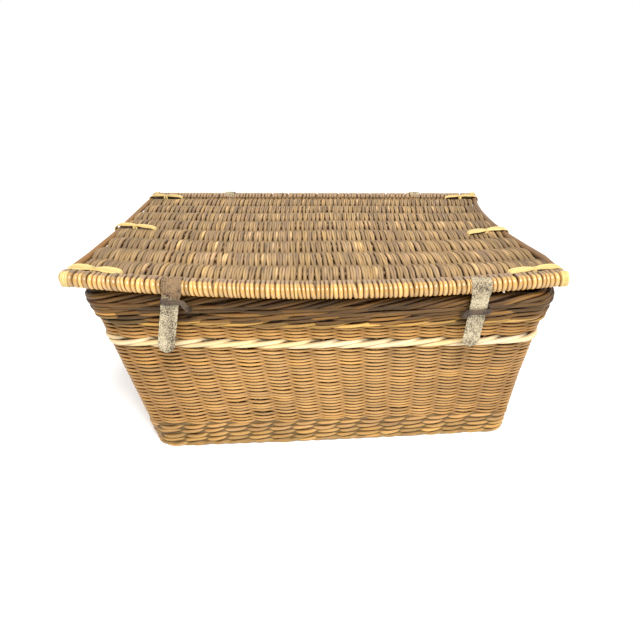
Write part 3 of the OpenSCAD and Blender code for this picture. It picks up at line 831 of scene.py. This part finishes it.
# ------------------------------------------------------------------ leather
def leather(name, light, dark, crack=0.5, rough=0.75, scale=1.0):
    m = bpy.data.materials.new(name)
    m.use_nodes = True
    nt = m.node_tree
    nt.nodes.clear()
    L = nt.links.new
    out = nd(nt, "ShaderNodeOutputMaterial")
    bs = nd(nt, "ShaderNodeBsdfPrincipled")
    L(bs.outputs[0], out.inputs[0])
    tc = nd(nt, "ShaderNodeTexCoord")
    n1 = nd(nt, "ShaderNodeTexNoise")
    n1.inputs["Scale"].default_value = 420.0 * scale
    n1.inputs["Detail"].default_value = 4.0
    n1.inputs["Roughness"].default_value = 0.65
    L(tc.outputs["Object"], n1.inputs["Vector"])
    n2 = nd(nt, "ShaderNodeTexNoise")
    n2.inputs["Scale"].default_value = 42.0 * scale
    n2.inputs["Detail"].default_value = 3.0
    L(tc.outputs["Object"], n2.inputs["Vector"])
    vo = nd(nt, "ShaderNodeTexVoronoi", feature="DISTANCE_TO_EDGE")
    vo.inputs["Scale"].default_value = 330.0 * scale
    L(tc.outputs["Object"], vo.inputs["Vector"])
    ad = nd(nt, "ShaderNodeMath", operation="MULTIPLY_ADD")
    L(n2.outputs["Fac"], ad.inputs[0])
    ad.inputs[1].default_value = 0.55
    L(n1.outputs["Fac"], ad.inputs[2])
    ramp = nd(nt, "ShaderNodeValToRGB")
    ramp.color_ramp.elements[0].position = 0.62
    ramp.color_ramp.elements[0].color = (*dark, 1)
    ramp.color_ramp.elements[1].position = 0.86
    ramp.color_ramp.elements[1].color = (*light, 1)
    L(ad.outputs[0], ramp.inputs[0])
    cr = nd(nt, "ShaderNodeMapRange")
    cr.inputs["From Min"].default_value = 0.0
    cr.inputs["From Max"].default_value = 0.12
    cr.inputs["To Min"].default_value = 1.0 - crack
    cr.inputs["To Max"].default_value = 1.0
    L(vo.outputs["Distance"], cr.inputs["Value"])
    vm = nd(nt, "ShaderNodeVectorMath", operation="SCALE")
    L(ramp.outputs["Color"], vm.inputs[0])
    L(cr.outputs[0], vm.inputs["Scale"])
    tint = nd(nt, "ShaderNodeAttribute", attribute_name="tint")
    mu = nd(nt, "ShaderNodeVectorMath", operation="MULTIPLY")
    L(vm.outputs[0], mu.inputs[0])
    L(tint.outputs["Color"], mu.inputs[1])
    L(mu.outputs[0], bs.inputs["Base Color"])
    bs.inputs["Roughness"].default_value = rough
    mx = nd(nt, "ShaderNodeMath", operation="MULTIPLY_ADD")
    L(vo.outputs["Distance"], mx.inputs[0])
    mx.inputs[1].default_value = 1.6
    L(n1.outputs["Fac"], mx.inputs[2])
    bp = nd(nt, "ShaderNodeBump")
    bp.inputs["Strength"].default_value = 0.7
    bp.inputs["Distance"].default_value = 0.0008
    L(mx.outputs[0], bp.inputs["Height"])
    L(bp.outputs[0], bs.inputs["Normal"])
    return m


M_STRAP = leather("leather_pale", srgb(226, 210, 174), srgb(92, 76, 54), crack=0.45)
M_LOOP = leather("leather_worn", srgb(150, 126, 104), srgb(74, 56, 44), crack=0.3)
M_KEEP = leather("leather_dark", srgb(104, 84, 64), srgb(48, 36, 28), crack=0.3)


def strap(name, x0, drop, lean_mm, body, node, mat, dark_top, holes, width=28.5):
    """Leather strap: a loop sewn round the lid's front edge and a tail with a rounded end."""
    b = Build()
    t = 2.8
    R = 12.3 + t / 2 + 0.1
    a = np.radians(np.linspace(-35, 180, 34))
    ring = np.column_stack([np.zeros(34), -LD + R * np.cos(a), LZ + R * np.sin(a)])
    n = 60
    zz = np.linspace(LZ - 1.5, LZ - drop, n)
    f = (LZ - zz) / drop
    tail = np.column_stack([lean_mm * f ** 1.0, np.full(n, -LD - R) - 1.2 * np.sin(np.pi * f) + 1.0 * f, zz])
    path = np.vstack([ring, tail])
    path[:, 0] += x0
    m = len(path)
    wid = np.ones(m) * width
    end = width / 2
    dist = drop - np.concatenate([np.zeros(34), f * drop])
    k = np.clip(dist / end, 0, 1)
    wid *= np.sqrt(np.clip(1 - (1 - k) ** 2, 0.02, 1))
    wid[:42] *= np.interp(np.arange(42), [0, 34, 41], [1.13, 1.13, 1.0])
    wid *= 1 + 0.012 * np.sin(np.arange(m) * 0.9) + 0.01 * np.sin(np.arange(m) * 0.31)
    ref = np.vstack([np.column_stack([np.zeros(34), np.cos(a), np.sin(a)]), np.tile((0, -1.0, 0), (n, 1))])
    tan = np.gradient(path, axis=0)
    tan /= np.linalg.norm(tan, axis=1)[:, None]
    bb = np.cross(tan, ref)
    bb /= np.linalg.norm(bb, axis=1)[:, None]
    nn = np.cross(bb, tan)
    K = 28
    th = np.linspace(0, 2 * np.pi, K, endpoint=False)
    ca = np.sign(np.cos(th)) * np.abs(np.cos(th)) ** 0.5 * t / 2
    sa = np.sign(np.sin(th)) * np.abs(np.sin(th)) ** 0.62
    v = (path[:, None, :] + ca[None, :, None] * nn[:, None, :] + (sa[None, :] * wid[:, None] / 2)[:, :, None] * bb[:, None, :])
    i = np.arange(m - 1)[:, None]
    kk = np.arange(K)[None, :]
    q = np.stack([i * K + kk, i * K + (kk + 1) % K, (i + 1) * K + (kk + 1) % K, (i + 1) * K + kk], -1).reshape(-1, 4)
    c = np.ones((m, K, 3))
    c[:40] *= np.array(dark_top)[None, None, :] if dark_top is not None else 1.0
    if dark_top is not None:
        for j in range(34, 48):
            w = min(1.0, max(0.0, (j - 38) / 5.0))
            c[j] = np.array(dark_top) * (1 - w) + w
    c = c.reshape(-1, 3)
    v = v.reshape(-1, 3)
    b.add(v, q, [], c, np.column_stack([np.zeros(len(v)), v[:, :2]]))
    for e in (0, m - 1):
        rr = v[e * K:(e + 1) * K]
        cv = np.vstack([rr, rr.mean(0)])
        idx = np.arange(K)
        tt = np.stack([idx, (idx + 1) % K, np.full(K, K)], -1)
        if e == 0:
            tt = tt[:, ::-1]
        b.add(cv, [], tt, np.ones((K + 1, 3)) * 0.8, np.column_stack([np.zeros(K + 1), cv[:, :2]]))
    ob = b.make(name, mat, body, node, slot="strap_leather")
    return ob


strap("strap_leather_left", -240.0, 117, -27.0, "strap_left", "strap_left", M_STRAP, (0.44, 0.32, 0.23), [100])
strap("strap_leather_right", 254.0, 106, -4.0, "strap_right", "strap_right", M_STRAP, (0.86, 0.84, 0.82), [100])


def keeper(name, x0, z0, node, w, drop_l, drop_r):
    """Leather loop through the border: across the front of the strap and back in on both sides, its ends drooping."""
    b = Build()
    yf, yb_ = -291.0, -252.0
    pts = [(-w / 2, yb_, drop_l), (-w / 2, -268.0, drop_l * 0.96)]
    for a in np.linspace(180, 270, 8):
        pts.append((-w / 2 + 7 + 7 * math.cos(math.radians(a)), yf + 7 + 7 * math.sin(math.radians(a)), drop_l * (270 - a) / 90 * 0.8))
    for x in np.linspace(-w / 2 + 9, w / 2 - 9, 8):
        pts.append((x, yf - 0.6 * math.cos(x / w * math.pi), 0.9 * math.cos(x / w * math.pi)))
    for a in np.linspace(270, 360, 8):
        pts.append((w / 2 - 7 + 7 * math.cos(math.radians(a)), yf + 7 + 7 * math.sin(math.radians(a)), drop_r * (a - 270) / 90 * 0.8))
    pts += [(w / 2, -268.0, drop_r * 0.96), (w / 2, yb_, drop_r)]
    p = np.array(pts)
    # even out the path
    q = [p[0]]
    for a, c in zip(p[:-1], p[1:]):
        k = max(int(np.linalg.norm(c - a) / 2.0), 1)
        q += [a + (c - a) * i / k for i in range(1, k + 1)]
    p = np.array(q)
    for _ in range(6):
        p[1:-1] = (p[:-2] + p[1:-1] * 2 + p[2:]) / 4
    p = np.column_stack([p[:, 0] + x0, p[:, 1], z0 - p[:, 2]])
    tan = np.gradient(p, axis=0)
    ref = np.cross(tan, (0, 0, 1.0))
    ref *= np.sign((ref * (p - np.array([x0, -262.0, z0]))).sum(1) + 1e-9)[:, None]
    ref[:, 2] = 0
    ref /= np.linalg.norm(ref, axis=1)[:, None]
    f = rng.normal(0, 0.03, (len(p), 3))
    b.tube(p, 1.0, ref, np.clip(1.0 + f, 0, 1.4), prof=strip(9.6, 2.8, 0.6))
    b.make(name, M_KEEP, "basket", node, slot="keeper_leather")


keeper("keeper_leather_left", -239.0, 346.5, "keeper_left", 42.0, 3.0, 25.0)
keeper("keeper_leather_right", 253.0, 328.0, "keeper_right", 43.0, 17.0, 3.0)


def hinge_loop(name, x0, node):
    b = Build()
    t = 2.8
    R = 12.0 + t / 2
    pts = []
    for a in np.radians(np.linspace(205, -65, 40)):
        pts.append((LD + R * math.cos(a) * (1.75 if math.cos(a) < 0 else 1.0), LZ - 4.2 + R * math.sin(a)))
    pts += [(268.5, 345.0), (268.0, 335.0), (268.5, 322.0), (268.0, 305.0), (266.5, 292.0), (263.0, 285.0), (256.0, 283.5), (246.0, 283.5), (242.0, 281.0), (240.5, 272.0)]
    p = np.array(pts)
    n = len(p)
    p = np.column_stack([np.full(n, x0) + np.linspace(0, 1, n) * 1.5, p])
    tan = np.gradient(p, axis=0)
    ref = np.cross(tan, (1.0, 0, 0))
    ref /= np.linalg.norm(ref, axis=1)[:, None]
    b.tube(p, 1.0, ref, (1.0, 1.0, 1.0), prof=strip(25.0, t, 0.45))
    b.make(name, M_STRAP, "basket", node, slot="strap_leather")


hinge_loop("hinge_leather_left", -232.0, "hinge_loop_left")
hinge_loop("hinge_leather_right", 244.0, "hinge_loop_right")

# ------------------------------------------------------------------ floor and light
def plane(name, size, loc, rot=(0, 0, 0)):
    me = bpy.data.meshes.new(name)
    s = size / 2
    me.from_pydata([(-s, -s, 0), (s, -s, 0), (s, s, 0), (-s, s, 0)], [], [(0, 1, 2, 3)])
    ob = bpy.data.objects.new(name, me)
    ob.location = loc
    ob.rotation_euler = rot
    bpy.context.scene.collection.objects.link(ob)
    return ob


floor = plane("floor", 24.0, (0, 0, 0))
fm = bpy.data.materials.new("floor_pale")
fm.use_nodes = True
fb = fm.node_tree.nodes["Principled BSDF"]
fb.inputs["Base Color"].default_value = (0.85, 0.85, 0.85, 1)
fb.inputs["Emission Color"].default_value = (1.0, 1.0, 1.0, 1)
fb.inputs["Emission Strength"].default_value = 0.18
fb.inputs["Roughness"].default_value = 0.9
fb.inputs["Specular IOR Level"].default_value = 0.1
floor.data.materials.append(fm)

world = bpy.data.worlds.new("studio")
bpy.context.scene.world = world
world.use_nodes = True
bg = world.node_tree.nodes["Background"]
bg.inputs[0].default_value = (1.0, 1.0, 1.0, 1)
bg.inputs[1].default_value = 1.0
bpy.context.scene.view_settings.view_transform = "Standard"


def area(name, loc, target, size, power, color=(1, 1, 1)):
    li = bpy.data.lights.new(name, "AREA")
    li.shape = "SQUARE"
    li.size = size
    li.energy = power
    li.color = color
    ob = bpy.data.objects.new(name, li)
    ob.location = loc
    d = Vector(target) - Vector(loc)
    ob.rotation_euler = d.to_track_quat("-Z", "Y").to_euler()
    bpy.context.scene.collection.objects.link(ob)
    return ob


area("key", (0.3, -1.45, 2.55), (0, 0, 0.2), 0.8, 92, (1.0, 0.98, 0.94))
